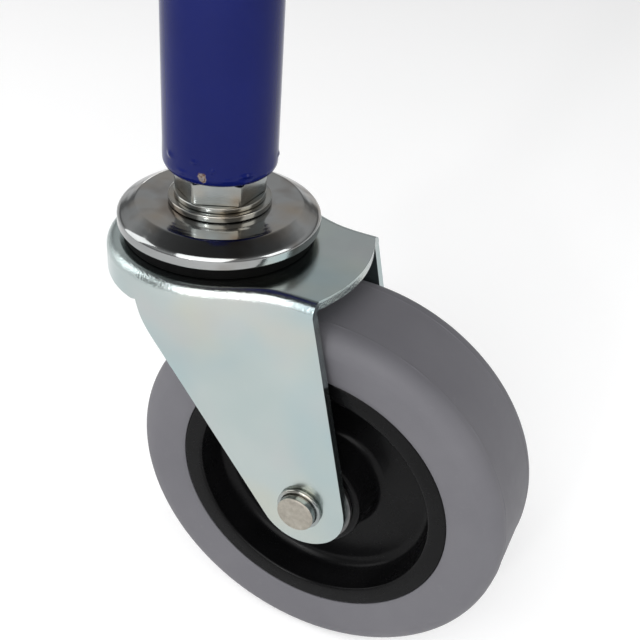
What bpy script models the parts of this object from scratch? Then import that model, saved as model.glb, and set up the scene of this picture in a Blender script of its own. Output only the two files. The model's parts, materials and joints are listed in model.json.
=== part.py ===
"""Swivel caster on the end of a painted leg tube: ball-bearing head, pressed fork and grey wheel.

The frame's origin is the centre of the tube's open top end, +Z runs up along the swivel axis,
the axle runs along Y and the wheel trails towards +X. Lengths below are in millimetres, and
heights are given above the lower edge of the upper cup's rim, which is called the rim plane.
"""

import math

import bmesh
import bpy
from mathutils import Matrix, Vector

MM = 0.001

# Leg tube
TUBE_RADIUS = 13.4
TUBE_WALL = 2.3
TUBE_BOTTOM = 14.2
TUBE_LENGTH = 90.0
TUBE_FOOT_ROUND = 2.5
TUBE_FOOT_BORE = 8.5
TUBE_FOOT_THICKNESS = 2.8
RIM_PLANE = -(TUBE_LENGTH + TUBE_BOTTOM)

# Stem, nut and washers
STEM_RADIUS = 6.0
STEM_CLEAR = 6.12
NUT_FLATS = 19.0
NUT_BOTTOM = 8.35
NUT_TOP = 14.1
NUT_TURN = math.radians(25.0)
SPRING_WASHER = (7.0, 8.3, 10.9)
WASHER_SPLIT = math.radians(110.0)
FLAT_WASHER = (5.27, 6.95, 12.3)

# Upper cup and its balls
CUP_RADIUS = 24.3
CUP_TOP = 5.2
CUP_UNDERSIDE = 2.4
CUP_CREASE = 19.6
UPPER_BALL_RADIUS = 3.175
UPPER_BALL_CIRCLE = 17.6
UPPER_BALL_COUNT = 16

# Fork
CROWN_TOP = -3.2
SHEET = 2.4
BEND = 3.0
HEAD_RADIUS = 27.0
LEG_FACE = 19.2
CORNER_X = 34.2
LIP_CENTRE_X = 37.6
REAR_EDGE_X = -7.9
SKIRT_BOTTOM = -11.6
SKIRT_ROWS = (0.5, 1.0)
BULGE_HIGH = -7.0
BULGE_LOW = -34.0
CROWN_BORE = 8.6
UPPER_GROOVE_DEPTH = 0.9
LOWER_GROOVE_DEPTH = 0.7

# Lower balls and cup
LOWER_BALL_RADIUS = 2.38
LOWER_BALL_CIRCLE = 11.6
LOWER_BALL_COUNT = 12
LOWER_BALL_HEIGHT = -7.55

# Wheel and axle
TRAIL = 34.65
AXLE_HEIGHT = -62.9
LEG_END_RADIUS = 11.8
WHEEL_RADIUS = 50.0
WHEEL_HALF_WIDTH = 15.25
SHOULDER = 5.3
CORE_RADIUS = 36.5
CORE_HALF_WIDTH = 13.95
AXLE_RADIUS = 4.9
AXLE_HOLE = 5.0


def clear_scene():
    for old in list(bpy.data.objects):
        bpy.data.objects.remove(old, do_unlink=True)
    for old in list(bpy.data.collections):
        bpy.data.collections.remove(old)


def collection(name):
    made = bpy.data.collections.new(name)
    bpy.context.scene.collection.children.link(made)
    return made


def material(name, colour, metallic, roughness, coat=0.0):
    made = bpy.data.materials.new(name)
    made.use_nodes = True
    shader = made.node_tree.nodes["Principled BSDF"]
    shader.inputs["Base Color"].default_value = (*colour, 1.0)
    shader.inputs["Metallic"].default_value = metallic
    shader.inputs["Roughness"].default_value = roughness
    shader.inputs["Coat Weight"].default_value = coat
    return made


def placed(name, mesh, where, look, group):
    """One object with its mesh, its origin at `where` (mm above the rim plane) and its material."""
    made = bpy.data.objects.new(name, mesh)
    made.location = (where[0] * MM, where[1] * MM, (where[2] + RIM_PLANE) * MM)
    mesh.materials.append(look)
    group.objects.link(made)
    return made


def fillet(corner, start, end, steps=5):
    """Points of a round between `start` and `end` that is tangent to both sides of `corner`."""
    points = []
    for step in range(steps + 1):
        t = step / steps
        angle = t * math.pi / 2
        a, b = 1 - math.sin(angle), 1 - math.cos(angle)
        x = corner[0] + (start[0] - corner[0]) * a + (end[0] - corner[0]) * b
        z = corner[1] + (start[1] - corner[1]) * a + (end[1] - corner[1]) * b
        points.append((x, z))
    return points


def turned(name, profile, where, look, group, axis="Z", steps=64, closed=True):
    """A solid of revolution. The profile is (radius, height) pairs that go down the outer side."""
    mesh = bpy.data.meshes.new(name)
    if axis == "Z":
        points = [(r * MM, 0.0, h * MM) for r, h in profile]
    else:
        points = [(r * MM, -h * MM, 0.0) for r, h in profile]
    count = len(points)
    edges = [(i, i + 1) for i in range(count - 1)]
    if closed:
        edges.append((count - 1, 0))
    mesh.from_pydata(points, edges, [])
    made = placed(name, mesh, where, look, group)
    screw = made.modifiers.new("turn", "SCREW")
    screw.axis = axis
    screw.steps = steps
    screw.render_steps = steps
    screw.use_merge_vertices = True
    screw.merge_threshold = 0.00001
    screw.use_smooth_shade = True
    screw.use_normal_flip = axis == "Y"
    return made


def ball(name, radius, where, look, group):
    mesh = bpy.data.meshes.new(name)
    shape = bmesh.new()
    bmesh.ops.create_icosphere(shape, subdivisions=2, radius=radius * MM)
    bmesh.ops.rotate(shape, verts=shape.verts, cent=(0, 0, 0), matrix=ball_turn(where))
    shape.to_mesh(mesh)
    shape.free()
    return placed(name, mesh, where, look, group)


def ball_turn(where):
    return Matrix.Rotation(math.atan2(where[1], where[0]), 3, "Z")


def cutter(name, mesh, where, group):
    made = bpy.data.objects.new(name, mesh)
    made.location = (where[0] * MM, where[1] * MM, (where[2] + RIM_PLANE) * MM)
    made.hide_render = True
    made.display_type = "WIRE"
    group.objects.link(made)
    return made


def cylinder_mesh(name, radius, length, axis, steps=48):
    shape = bmesh.new()
    bmesh.ops.create_cone(
        shape,
        cap_ends=True,
        segments=steps,
        radius1=radius * MM,
        radius2=radius * MM,
        depth=length * MM,
    )
    if axis == "Y":
        for vert in shape.verts:
            vert.co = Vector((vert.co.x, -vert.co.z, vert.co.y))
    mesh = bpy.data.meshes.new(name)
    bmesh.ops.recalc_face_normals(shape, faces=shape.faces)
    shape.to_mesh(mesh)
    shape.free()
    return mesh


def cut(target, tool, name):
    boolean = target.modifiers.new(name, "BOOLEAN")
    boolean.operation = "DIFFERENCE"
    boolean.solver = "EXACT"
    boolean.object = tool


# ---------------------------------------------------------------- leg tube, nut, washers, stem


def build_leg(looks, group):
    outer, wall, foot = TUBE_RADIUS, TUBE_WALL, TUBE_FOOT_ROUND
    top, bottom = TUBE_BOTTOM + TUBE_LENGTH, TUBE_BOTTOM
    inner = outer - wall
    profile = [(inner + 0.4, top), (outer - 0.4, top), (outer, top - 0.4)]
    profile += fillet((outer, bottom), (outer, bottom + foot), (outer - foot, bottom), 6)
    profile += [(TUBE_FOOT_BORE, bottom), (TUBE_FOOT_BORE, bottom + TUBE_FOOT_THICKNESS)]
    profile += [(inner, bottom + TUBE_FOOT_THICKNESS), (inner, top - 0.4)]
    tube = turned("leg_tube", profile, (0, 0, 0), looks["blue_paint"], group, steps=48)
    plug_low = bottom + TUBE_FOOT_THICKNESS + 0.05
    plug = [(STEM_CLEAR, plug_low + 11.5), (inner - 0.6, plug_low + 11.5)]
    plug += [(inner - 0.1, plug_low + 11.0), (inner - 0.1, plug_low), (STEM_CLEAR, plug_low)]
    turned("end_plug", plug, (0, 0, 0), looks["bare_steel"], group, steps=32)
    return tube


def build_nut(looks, group, cutters):
    """A hexagon with its upper end turned to a 30 degree chamfer, bored for the stem."""
    across = NUT_FLATS / math.sqrt(3)
    half = (NUT_TOP - NUT_BOTTOM) / 2
    profile = [(STEM_CLEAR, half), (NUT_FLATS / 2 - 0.1, half), (across + 0.05, half - 0.85)]
    profile += [(across + 0.05, -half), (STEM_CLEAR, -half)]
    where = (0, 0, (NUT_TOP + NUT_BOTTOM) / 2)
    nut = turned("jam_nut", profile, where, looks["bright_zinc"], group, steps=32)
    outer = bmesh.new()
    ring = []
    for layer in (-half - 1.0, half + 1.0):
        for radius in (across, 2 * across):
            for side in range(6):
                angle = NUT_TURN + side * math.pi / 3
                x, y = radius * math.cos(angle), radius * math.sin(angle)
                ring.append(outer.verts.new((x * MM, y * MM, layer * MM)))
    for side in range(6):
        following = (side + 1) % 6
        low_in, low_out, high_in, high_out = 0, 6, 12, 18
        outer.faces.new([ring[low_in + side], ring[low_in + following],
                         ring[high_in + following], ring[high_in + side]])
        outer.faces.new([ring[low_out + side], ring[high_out + side],
                         ring[high_out + following], ring[low_out + following]])
        outer.faces.new([ring[low_in + side], ring[low_out + side],
                         ring[low_out + following], ring[low_in + following]])
        outer.faces.new([ring[high_in + side], ring[high_in + following],
                         ring[high_out + following], ring[high_out + side]])
    bmesh.ops.recalc_face_normals(outer, faces=outer.faces)
    mesh = bpy.data.meshes.new("nut_sides")
    outer.to_mesh(mesh)
    outer.free()
    cut(nut, cutter("nut_sides", mesh, where, cutters), "flats")


def build_washers(looks, group, cutters):
    low, high, radius = SPRING_WASHER
    ring = [(6.4, high), (radius - 0.25, high), (radius, high - 0.25)]
    ring += [(radius, low + 0.25), (radius - 0.25, low), (6.4, low)]
    washer = turned("spring_washer", ring, (0, 0, 0), looks["bright_zinc"], group, steps=36)
    slot = bmesh.new()
    bmesh.ops.create_cube(slot, size=1.0)
    for vert in slot.verts:
        slant = 0.7 * vert.co.z
        vert.co = Vector((vert.co.x * 8 * MM, (vert.co.y * 1.1 + slant) * MM, vert.co.z * 4 * MM))
    mesh = bpy.data.meshes.new("washer_slot")
    slot.to_mesh(mesh)
    slot.free()
    tool = cutter("washer_slot", mesh, (0, 0, (low + high) / 2), cutters)
    tool.rotation_euler = (0, 0, WASHER_SPLIT)
    tool.location.x = 8.5 * MM * math.cos(WASHER_SPLIT)
    tool.location.y = 8.5 * MM * math.sin(WASHER_SPLIT)
    cut(washer, tool, "split")

    low, high, radius = FLAT_WASHER
    ring = [(6.3, high), (radius - 0.3, high), (radius, high - 0.3)]
    ring += [(radius, low + 0.3), (radius - 0.3, low), (6.3, low)]
    turned("flat_washer", ring, (0, 0, 0), looks["bright_zinc"], group, steps=48)


def build_stem(looks, group):
    profile = [(0, 26.5), (STEM_RADIUS - 0.8, 26.5), (STEM_RADIUS, 25.7), (STEM_RADIUS, -12.5)]
    profile += [(9.3, -12.5)]
    profile += fillet((9.3, -16.6), (9.3, -14.2), (5.0, -16.6), 5)
    profile += [(0, -16.6)]
    turned("stem_bolt", profile, (0, 0, 0), looks["bare_steel"], group, steps=32, closed=False)


# ---------------------------------------------------------------- bearing head


def build_head(looks, group):
    cup = [(6.3, CUP_TOP), (CUP_CREASE - 0.2, CUP_TOP), (CUP_CREASE + 0.2, CUP_TOP - 0.12)]
    cup += fillet((CUP_RADIUS, 2.95), (23.1, 3.4), (CUP_RADIUS, 2.2), 3)
    cup += [(CUP_RADIUS, 0.35), (CUP_RADIUS - 0.35, 0.0), (21.9, 0.0)]
    cup += fillet((21.9, CUP_UNDERSIDE), (21.9, 1.3), (20.9, CUP_UNDERSIDE), 3)
    cup += [(6.3, CUP_UNDERSIDE)]
    turned("upper_cup", cup, (0, 0, 0), looks["polished_zinc"], group, steps=48)

    seal = [(21.4, -0.06), (22.9, -0.06), (22.9, CROWN_TOP + 0.08), (21.4, CROWN_TOP + 0.08)]
    turned("dust_seal", seal, (0, 0, 0), looks["black_rubber"], group, steps=48)

    sleeve = [(STEM_CLEAR, 2.22), (7.9, 2.22), (7.9, -9.05), (STEM_CLEAR, -9.05)]
    turned("race_spacer", sleeve, (0, 0, 0), looks["bare_steel"], group, steps=32)

    radius = LOWER_BALL_RADIUS + 0.06
    lower = [(STEM_CLEAR, -9.1), (9.6, -9.1)]
    for step in range(4):
        angle = math.radians(235 + step * 30)
        across, up = radius * math.cos(angle), radius * math.sin(angle)
        lower.append((LOWER_BALL_CIRCLE + across, LOWER_BALL_HEIGHT + up))
    lower += [(14.3, -7.6), (15.1, -7.6), (15.4, -7.9)]
    lower += fillet((15.4, -12.4), (15.4, -10.9), (13.9, -12.4), 2)
    lower += [(STEM_CLEAR, -12.4)]
    turned("lower_cup", lower, (0, 0, 0), looks["bare_steel"], group, steps=32)

    rest = CROWN_TOP - UPPER_GROOVE_DEPTH + UPPER_BALL_RADIUS + 0.12
    rows = (
        ("upper_ball", UPPER_BALL_COUNT, UPPER_BALL_RADIUS, UPPER_BALL_CIRCLE, rest),
        ("lower_ball", LOWER_BALL_COUNT, LOWER_BALL_RADIUS, LOWER_BALL_CIRCLE, LOWER_BALL_HEIGHT),
    )
    for name, count, radius, circle, height in rows:
        for index in range(count):
            angle = 2 * math.pi * index / count
            where = (circle * math.cos(angle), circle * math.sin(angle), height)
            ball(f"{name}_{index + 1:02d}", radius, where, looks["ball_steel"], group)


# ---------------------------------------------------------------- fork


def smooth_max(a, b, reach):
    lap = max(reach - abs(a - b), 0.0) / reach
    return max(a, b) + lap * lap * reach / 4


def wall_distance(angle):
    """Distance from the swivel axis to the fork's outer wall, in the direction of `angle`."""
    if abs(math.sin(angle)) < 1e-6 or math.cos(angle) < 0:
        return HEAD_RADIUS
    flank = LEG_FACE / abs(math.sin(angle))
    return smooth_max(HEAD_RADIUS, flank, 9.0)


def crown_height(radius):
    """Height of the crown's top face, with the two pressed ball tracks."""
    height = CROWN_TOP
    upper = (radius - UPPER_BALL_CIRCLE) / 3.4
    lower = (radius - LOWER_BALL_CIRCLE) / 2.4
    if abs(upper) < 1:
        height -= UPPER_GROOVE_DEPTH * (0.5 + 0.5 * math.cos(math.pi * upper))
    if abs(lower) < 1:
        height += LOWER_GROOVE_DEPTH * (0.5 + 0.5 * math.cos(math.pi * lower))
    return height


def tangent(point, side):
    """Where a line from `point` touches the leg's rounded end. `side` is 1 for the rear edge."""
    dx, dz = point[0] - TRAIL, point[1] - AXLE_HEIGHT
    away = math.hypot(dx, dz)
    turn = math.acos(LEG_END_RADIUS / away)
    return math.atan2(dz, dx) + side * turn


def lerp(a, b, t):
    return tuple(u + (v - u) * t for u, v in zip(a, b))


def along(points, t):
    """The point at fraction t of the length of a line of points."""
    lengths = [math.dist(a, b) for a, b in zip(points, points[1:])]
    rest = t * sum(lengths)
    for start, end, length in zip(points, points[1:], lengths):
        if rest <= length or end is points[-1]:
            return lerp(start, end, min(rest / length, 1.0))
        rest -= length
    return points[-1]


def leg_outline():
    """Front edge, rear edge and rounded end of a leg, in the plane of its face, from the bend down."""
    high = CROWN_TOP - BEND
    front_top = (CORNER_X, high)
    front_turn = tangent(front_top, -1)
    rear_bend = (-3.0, -32.4)
    rear_turn = tangent(rear_bend, 1)

    def on_end(angle):
        return (TRAIL + LEG_END_RADIUS * math.cos(angle),
                AXLE_HEIGHT + LEG_END_RADIUS * math.sin(angle))

    front = [front_top, on_end(front_turn)]
    rear = [(REAR_EDGE_X, high), (REAR_EDGE_X, SKIRT_BOTTOM)]
    start, control, end = (REAR_EDGE_X + 0.1, -15.0), (REAR_EDGE_X + 0.3, -24.0), rear_bend
    for step in range(7):
        t = step / 6
        rear.append(lerp(lerp(start, control, t), lerp(control, end, t), t))
    rear.append(on_end(rear_turn))
    sweep = (rear_turn - front_turn) % (-2 * math.pi)
    return front, rear, front_turn, sweep, on_end


def bulge(x, height):
    """How far the round head stands out beyond the leg's flat face, fading down the leg."""
    low, high = math.atan2(LEG_FACE, CORNER_X), math.pi - 0.5
    for _ in range(30):
        middle = (low + high) / 2
        if wall_distance(middle) * math.cos(middle) > x:
            low = middle
        else:
            high = middle
    out = max(wall_distance(low) * math.sin(low) - LEG_FACE, 0.0)
    t = min(max((height - BULGE_LOW) / (BULGE_HIGH - BULGE_LOW), 0.0), 1.0)
    return out * t * t * (3 - 2 * t)


def flank_normal(angle):
    """Outward direction of the fork's wall in plan."""
    a, b = angle - 0.002, angle + 0.002
    ra, rb = wall_distance(a), wall_distance(b)
    tx = rb * math.cos(b) - ra * math.cos(a)
    ty = rb * math.sin(b) - ra * math.sin(a)
    size = math.hypot(tx, ty)
    return (ty / size, -tx / size)


def crown_line(flat, reach, tracks, bend_rows):
    """Points from the crown's bore out to `flat`, then down the bend that ends `reach` further out."""
    angle = math.atan2(flat[1], flat[0])
    line = [(r * math.cos(angle), r * math.sin(angle), crown_height(r)) for r in tracks]
    line.append((*lerp(line[-1][:2], flat, 0.5), CROWN_TOP))
    line.append((*flat, CROWN_TOP))
    for step in range(1, bend_rows + 1):
        turn = math.pi / 2 * step / bend_rows
        out, down = math.sin(turn), BEND * (1 - math.cos(turn))
        line.append((flat[0] + reach[0] * out, flat[1] + reach[1] * out, CROWN_TOP - down))
    return line


def lip_line(y, tracks):
    """A line out to the crown's bowed front edge, where the sheet is cut off square."""
    edge = LEG_FACE - BEND
    bow = 1 - (y / edge) ** 2
    return crown_line((CORNER_X + (LIP_CENTRE_X - CORNER_X) * bow, y), (0.0, 0.0), tracks, 0)


def leg_line(angle, u, tracks, counts, outline):
    """A line over a flank and down the leg; u runs from 0 at the front edge to 1 at the rear edge."""
    bend_rows, rows = counts
    front, rear, front_turn, sweep, on_end = outline
    high = CROWN_TOP - BEND
    if u == 0:
        top = front[0]
        line = crown_line((CORNER_X, LEG_FACE - BEND), (0.0, BEND), tracks, bend_rows)
    else:
        reach, normal = wall_distance(angle), flank_normal(angle)
        edge = (reach * math.cos(angle), reach * math.sin(angle))
        top = (edge[0], high)
        out = (normal[0] * BEND, normal[1] * BEND)
        line = crown_line((edge[0] - out[0], edge[1] - out[1]), out, tracks, bend_rows)
    length = sum(math.dist(a, b) for a, b in zip(rear, rear[1:]))
    skirt = (high - SKIRT_BOTTOM) / length
    end = on_end(front_turn + sweep * u)
    for row in range(1, rows + 1):
        if row <= len(SKIRT_ROWS):
            t = skirt * SKIRT_ROWS[row - 1]
        else:
            t = skirt + (1 - skirt) * (row - len(SKIRT_ROWS)) / (rows - len(SKIRT_ROWS))
        fore, aft = along(front, t), along(rear, t)
        base = lerp(lerp(front[0], front[-1], t), lerp(rear[0], rear[-1], t), u)
        x, z = (m + e - b for m, e, b in zip(lerp(fore, aft, u), lerp(top, end, t), base))
        if u in (0, 1):
            x, z = (fore, aft)[u]
        line.append((x, LEG_FACE + bulge(x, z), z))
    return line


def skirt_line(angle, tracks, bend_rows):
    """A line over the round rear of the head and down its skirt."""
    normal = (math.cos(angle), math.sin(angle))
    flat = (normal[0] * (HEAD_RADIUS - BEND), normal[1] * (HEAD_RADIUS - BEND))
    out = (normal[0] * BEND, normal[1] * BEND)
    line = crown_line(flat, out, tracks, bend_rows)
    high = CROWN_TOP - BEND
    for row in SKIRT_ROWS:
        z = high + (SKIRT_BOTTOM - high) * row
        line.append((normal[0] * HEAD_RADIUS, normal[1] * HEAD_RADIUS, z))
    return line


def fork_sheet(lip_columns, leg_columns, skirt_columns, counts, tracks):
    """The fork's outer face as one grid: crown, lip, bends, rear skirt and the two tapered legs."""
    bend_rows = counts[0]
    shape = bmesh.new()
    found = {}

    def vert(point):
        key = tuple(round(value, 4) for value in point)
        if key not in found:
            found[key] = shape.verts.new([value * MM for value in point])
        return found[key]

    def quad(corners):
        distinct = list(dict.fromkeys(corners))
        if len(distinct) > 2:
            shape.faces.new(distinct)

    edge = LEG_FACE - BEND
    lines = [lip_line(edge * i / lip_columns, tracks) for i in range(lip_columns + 1)]
    outline = leg_outline()
    front_angle = math.atan2(LEG_FACE, CORNER_X - BEND)
    rear_angle = math.atan2(math.sqrt(HEAD_RADIUS**2 - REAR_EDGE_X**2), REAR_EDGE_X)
    lines.append(leg_line(front_angle, 0, tracks, counts, outline))
    for i in range(leg_columns):
        angle = front_angle + (rear_angle - front_angle) * i / (leg_columns - 1)
        u = 1 if i == leg_columns - 1 else 0.06 + 0.94 * i / (leg_columns - 1)
        lines.append(leg_line(angle, u, tracks, counts, outline))
    for i in range(1, skirt_columns + 1):
        angle = rear_angle + (math.pi - rear_angle) * i / skirt_columns
        lines.append(skirt_line(angle, tracks, bend_rows))
    lines[0] = [(x, 0.0, z) for x, y, z in lines[0]]
    lines[-1] = [(x, 0.0, z) for x, y, z in lines[-1]]
    for side in (1, -1):
        rows = [[vert((x, y * side, z)) for x, y, z in line] for line in lines]
        for one, two in zip(rows, rows[1:]):
            for row in range(min(len(one), len(two)) - 1):
                corners = (one[row], one[row + 1], two[row + 1], two[row])
                quad(corners if side > 0 else corners[::-1])
    return shape


def build_fork(looks, group, cutters):
    tracks = [CROWN_BORE, 9.8, 11.6, 13.4, 14.8, 16.2, 17.6, 19.0, 20.6]
    shape = fork_sheet(6, 14, 10, (3, 12), tracks)
    mesh = bpy.data.meshes.new("fork")
    shape.to_mesh(mesh)
    shape.free()
    fork = placed("fork", mesh, (0, 0, 0), looks["satin_zinc"], group)
    thick = fork.modifiers.new("sheet", "SOLIDIFY")
    thick.thickness = SHEET * MM
    thick.offset = -1.0
    thick.use_even_offset = True
    hole = cylinder_mesh("axle_hole", AXLE_HOLE, 60, "Y")
    cut(fork, cutter("axle_hole", hole, (TRAIL, 0, AXLE_HEIGHT), cutters), "axle_hole")
    return fork


# ---------------------------------------------------------------- wheel and axle


def mirrored(half):
    """A closed ring profile from its half at positive height, listed from the bore outwards."""
    lower = [(r, -h) for r, h in reversed(half)]
    return half + lower


def build_wheel(looks, group):
    centre = (TRAIL, 0, AXLE_HEIGHT)
    tread = [(CORE_RADIUS + 0.03, CORE_HALF_WIDTH - 0.02), (40.0, 14.6)]
    rounding = fillet(
        (WHEEL_RADIUS, WHEEL_HALF_WIDTH),
        (WHEEL_RADIUS - SHOULDER, WHEEL_HALF_WIDTH),
        (WHEEL_RADIUS, WHEEL_HALF_WIDTH - SHOULDER),
        6,
    )
    tread += rounding
    profile = mirrored(tread)
    profile += [(CORE_RADIUS + 0.03, -8.95), (33.05, -8.85), (33.05, 8.85), (CORE_RADIUS + 0.03, 8.95)]
    turned("tyre", profile, centre, looks["grey_rubber"], group, axis="Y", steps=52)

    half = [(9.1, 15.2), (13.9, 15.2), (14.4, 14.7), (15.3, 6.6), (18.0, 4.9)]
    half += fillet((30.2, 4.9), (27.6, 4.9), (30.5, 7.4), 2)
    half += [(31.6, CORE_HALF_WIDTH - 0.3), (31.9, CORE_HALF_WIDTH)]
    half += [(CORE_RADIUS, CORE_HALF_WIDTH)]
    half += [(CORE_RADIUS, 9.05), (33.0, 8.95)]
    turned("wheel_core", mirrored(half), centre, looks["black_plastic"], group, axis="Y", steps=52)


def build_axle(looks, group):
    centre = (TRAIL, 0, AXLE_HEIGHT)
    inner = LEG_FACE - SHEET
    axle = [(0, 22.6), (4.6, 22.6), (AXLE_RADIUS, 22.3), (AXLE_RADIUS, -19.3), (8.2, -19.3)]
    axle += fillet((8.2, -22.4), (8.2, -20.4), (4.2, -22.4), 4)
    axle += [(0, -22.4)]
    turned("axle_rivet", axle, centre, looks["axle_steel"], group, axis="Y", steps=32, closed=False)

    collar = [(5.0, 20.5), (5.6, 20.5), (5.9, 20.2), (5.9, 19.5), (5.6, 19.25), (5.0, 19.25)]
    turned("axle_collar", collar, centre, looks["bright_zinc"], group, axis="Y", steps=32)

    sleeve = [(5.0, inner - 0.1), (7.0, inner - 0.1), (7.0, -inner + 0.1), (5.0, -inner + 0.1)]
    turned("axle_sleeve", sleeve, centre, looks["bare_steel"], group, axis="Y", steps=32)

    for name, sign in (("near", 1), ("far", -1)):
        bush = [(7.08, 15.15), (9.05, 15.15), (9.05, 4.0), (7.08, 4.0)]
        washer = [(7.1, 16.7), (12.0, 16.7), (12.5, 16.4), (12.5, 15.6), (12.0, 15.3), (7.1, 15.3)]
        if sign < 0:
            bush = [(r, -h) for r, h in reversed(bush)]
            washer = [(r, -h) for r, h in reversed(washer)]
        turned(f"bush_{name}", bush, centre, looks["white_plastic"], group, axis="Y", steps=32)
        turned(f"thrust_washer_{name}", washer, centre, looks["dark_steel"], group, axis="Y", steps=32)


def main():
    clear_scene()
    group = collection("swivel_caster")
    cutters = collection("cutters")
    cutters.hide_render = True
    looks = {
        "blue_paint": material("blue_paint", (0.009, 0.014, 0.12), 0.0, 0.18, 0.1),
        "bright_zinc": material("bright_zinc", (0.5, 0.52, 0.51), 1.0, 0.2),
        "polished_zinc": material("polished_zinc", (0.55, 0.55, 0.55), 1.0, 0.1),
        "satin_zinc": material("satin_zinc", (0.56, 0.64, 0.62), 1.0, 0.28),
        "axle_steel": material("axle_steel", (0.5, 0.47, 0.42), 1.0, 0.35),
        "bare_steel": material("bare_steel", (0.4, 0.4, 0.4), 1.0, 0.3),
        "dark_steel": material("dark_steel", (0.12, 0.12, 0.12), 0.8, 0.4),
        "ball_steel": material("ball_steel", (0.7, 0.7, 0.7), 1.0, 0.06),
        "black_rubber": material("black_rubber", (0.004, 0.004, 0.004), 0.0, 0.6),
        "grey_rubber": material("grey_rubber", (0.145, 0.142, 0.158), 0.0, 0.6),
        "black_plastic": material("black_plastic", (0.004, 0.004, 0.004), 0.0, 0.25),
        "white_plastic": material("white_plastic", (0.7, 0.7, 0.66), 0.0, 0.4),
    }
    build_leg(looks, group)
    build_nut(looks, group, cutters)
    build_washers(looks, group, cutters)
    build_stem(looks, group)
    build_head(looks, group)
    build_fork(looks, group, cutters)
    build_wheel(looks, group)
    build_axle(looks, group)


main()
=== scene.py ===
"""Looks for the swivel caster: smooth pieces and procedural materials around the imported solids.

Lengths are in millimetres unless a name ends in _m. Heights of the tube, the head and the fork are
measured from the lower edge of the upper cup's rim. Radii are measured from the axis that a piece is
turned about, and places along the axle from the wheel's middle plane.
"""

import json
import math

import bmesh
import bpy
from mathutils import Matrix, Vector


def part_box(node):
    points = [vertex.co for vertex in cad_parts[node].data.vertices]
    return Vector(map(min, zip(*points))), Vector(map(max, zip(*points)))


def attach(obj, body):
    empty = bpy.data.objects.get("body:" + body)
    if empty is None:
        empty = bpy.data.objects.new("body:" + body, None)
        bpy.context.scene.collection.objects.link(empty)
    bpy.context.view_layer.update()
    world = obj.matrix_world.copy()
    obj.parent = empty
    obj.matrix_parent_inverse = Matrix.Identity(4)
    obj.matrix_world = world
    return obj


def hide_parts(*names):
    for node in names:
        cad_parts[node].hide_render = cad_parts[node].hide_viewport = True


MM = 0.001

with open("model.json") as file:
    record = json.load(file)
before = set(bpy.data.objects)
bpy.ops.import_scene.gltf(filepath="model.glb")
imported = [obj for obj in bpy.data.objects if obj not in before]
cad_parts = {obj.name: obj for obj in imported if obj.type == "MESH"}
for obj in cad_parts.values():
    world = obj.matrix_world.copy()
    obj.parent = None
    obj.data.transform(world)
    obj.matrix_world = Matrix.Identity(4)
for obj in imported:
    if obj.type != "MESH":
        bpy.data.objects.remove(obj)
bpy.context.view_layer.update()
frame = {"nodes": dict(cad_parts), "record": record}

# ---------------------------------------------------------------- places taken from the solids

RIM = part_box("upper_cup")[0].z / MM
TUBE_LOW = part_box("leg_tube")[0].z / MM - RIM
TUBE_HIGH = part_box("leg_tube")[1].z / MM - RIM
TUBE_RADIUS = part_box("leg_tube")[1].x / MM
tyre_low, tyre_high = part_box("tyre")
TRAIL = (tyre_low.x + tyre_high.x) / 2 / MM
AXLE_HEIGHT = (tyre_low.z + tyre_high.z) / 2 / MM - RIM
WHEEL_RADIUS = (tyre_high.x - tyre_low.x) / 2 / MM
WHEEL_HALF_WIDTH = tyre_high.y / MM
FLOOR_m = tyre_low.z
NUT_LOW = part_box("jam_nut")[0].z / MM - RIM
NUT_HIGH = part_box("jam_nut")[1].z / MM - RIM

# Leg tube
TUBE_WALL = 2.3
FOOT_ROUND = 2.5
FOOT_SHEET = 2.8
FOOT_BORE = 8.5
MARKED_HEIGHT = 9
MARKED_DEPTH = 2.4

# Marks in the tube's paint: angle in degrees, height, width, height of the mark, how far it stands out
PAINT_RUNS = (
    (-85.3, 20.4, 2.2, 1.1, 0.22),
    (-68.6, 18.8, 1.3, 1.2, 0.25),
    (-35.8, 17.3, 3.4, 1.0, 0.32),
    (-117.6, 20.0, 2.2, 1.6, 0.25),
    (-33.0, 15.7, 2.4, 0.6, 0.15),
    (-100.0, 17.2, 3.5, 1.0, 0.16),
    (-54.0, 16.6, 3.0, 0.9, 0.14),
    (20.0, 18.4, 2.6, 1.2, 0.2),
    (95.0, 19.2, 3.0, 1.4, 0.22),
    (160.0, 17.6, 2.4, 1.1, 0.2),
)
RUN_FALLOFF = 1.4
RUN_GAIN = 3.2
RUN_LIMIT = 0.5
WAVE_ONE, WAVE_TWO = 0.05, 0.04
WAVE_MIDDLE, WAVE_REACH = 3.5, 3

# The chip in the paint
CHIP_ANGLE, CHIP_HEIGHT = math.radians(-78.0), 17.0
CHIP_STRETCH = (1.5, 1.5, 1.15)
CHIP_RAGGED_m = 0.0022
CHIP_INSIDE_m, CHIP_OUTSIDE_m = 0.00225, 0.0026

# Jam nut and washers
NUT_FLATS = 19.0
NUT_TURN = math.radians(25.0)
NUT_CHAMFER = math.radians(30)
NUT_CHAMFER_RADIUS = 9.35
NUT_CORNER_ROUND = 0.12
NUT_CORNER_REACH = 0.35
NUT_COLUMNS = 216
STEM_CLEARANCE = 6.12
NUT_MOUTH = 6.6
SPRING_INNER, SPRING_OUTER = 6.4, 10.9
SPRING_LOW, SPRING_HIGH = 7.0, 8.3
SPRING_COLUMNS = 150
SPLIT_TURN = math.radians(110)
SPLIT_GAP = math.radians(3.4)
SPLIT_LEAN = math.radians(4.5)
WASHER_INNER, WASHER_OUTER = 6.3, 12.3
WASHER_LOW, WASHER_HIGH = 5.27, 6.95

# Stem
STEM_RADIUS = 6.0
STEM_TOP = 26.5
THREAD_HIGH, THREAD_LOW = 25.4, 17.2
THREAD_ROOT = 5.62
THREAD_PITCH = 1.25
STEM_HEAD_RADIUS = 9.3
STEM_HEAD_HIGH, STEM_HEAD_LOW = -12.5, -16.6

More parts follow.
